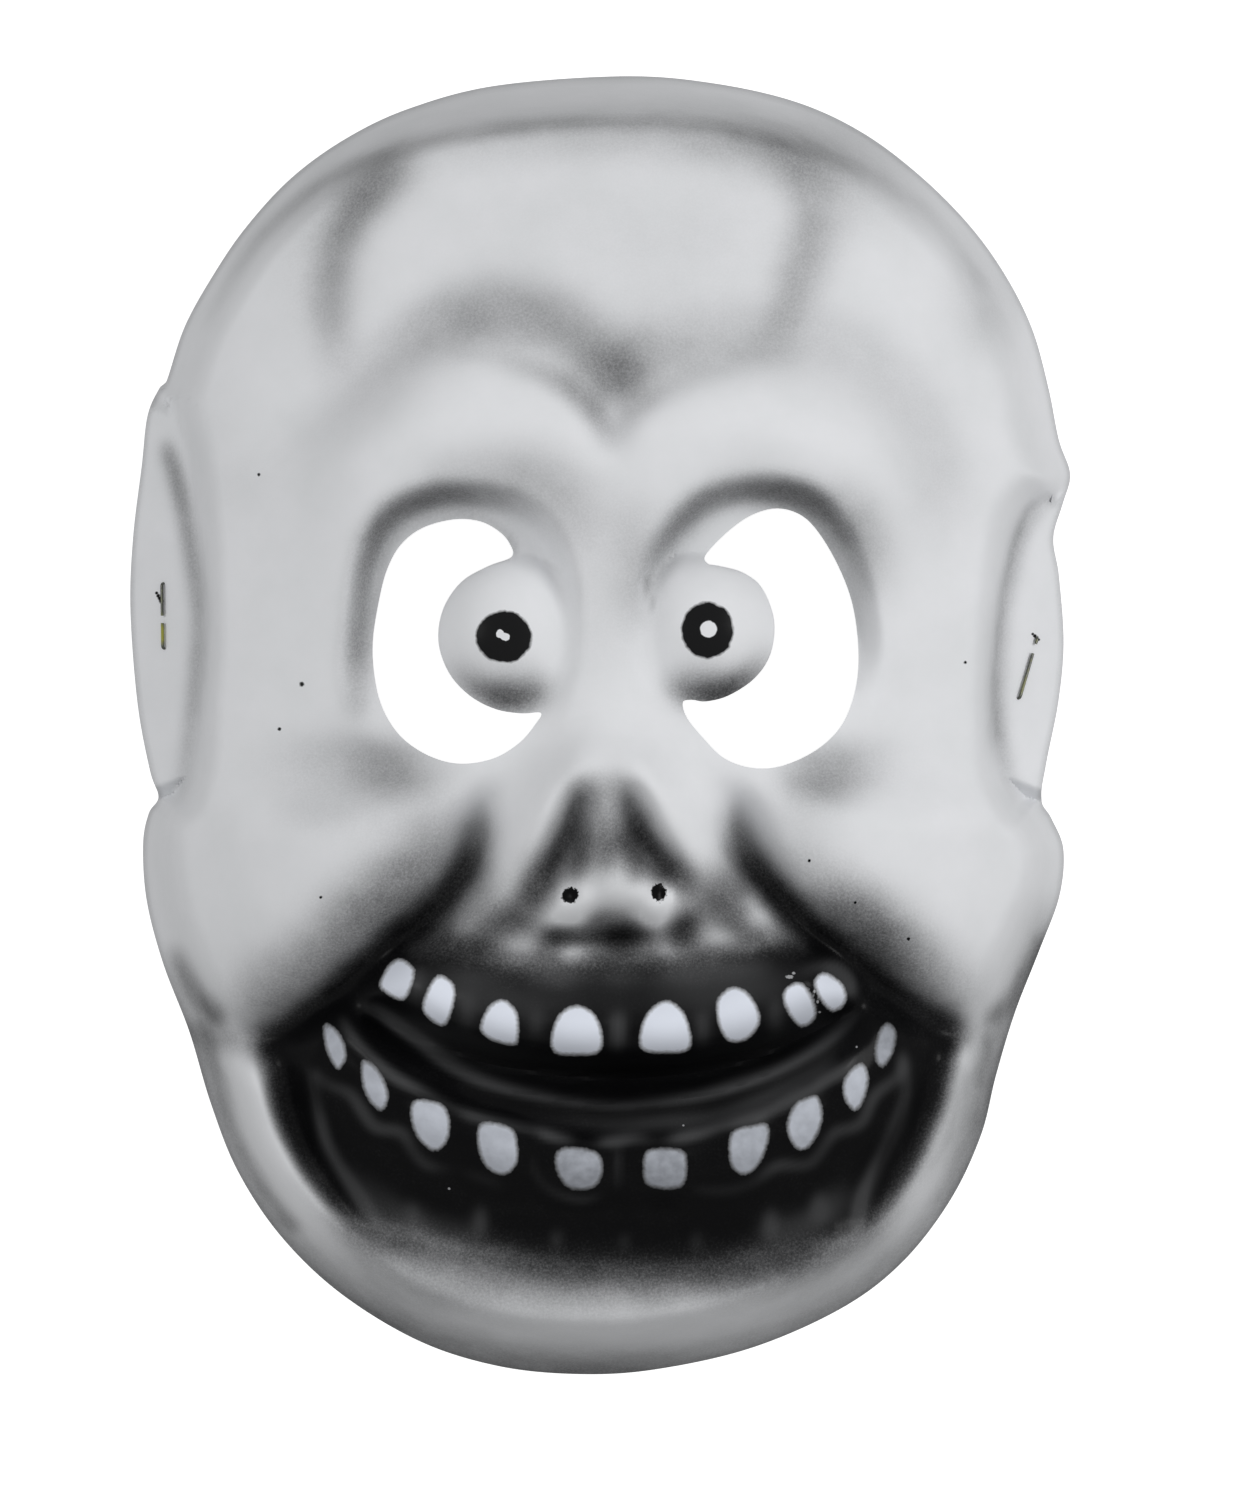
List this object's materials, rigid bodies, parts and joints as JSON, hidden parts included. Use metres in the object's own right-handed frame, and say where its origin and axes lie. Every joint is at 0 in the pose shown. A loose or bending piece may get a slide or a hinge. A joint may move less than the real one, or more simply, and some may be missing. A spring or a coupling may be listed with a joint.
{
  "type": "skull mask",
  "caption": "Face mask in the form of a grinning skull, pressed from foam sheet, with eye openings beside moulded eyeballs and a stapled strap tab at each temple.",
  "frame": {"origin": "middle of the bounding box, at the level of the rim that the mask lies on", "axes": "+Z out of the face, +Y towards the crown, +X towards the viewer's right"},
  "size_m": [0.1806, 0.2502, 0.0679],
  "materials": {
    "foam": "white EVA foam with a smooth satin skin, sprayed grey and black",
    "staple_steel": "round-edged staple wire, plated and tarnished yellow"
  },
  "bodies": {
    "root": {"mask_shell": "foam", "staple_left": "staple_steel", "staple_right": "staple_steel"}
  },
  "joints": []
}
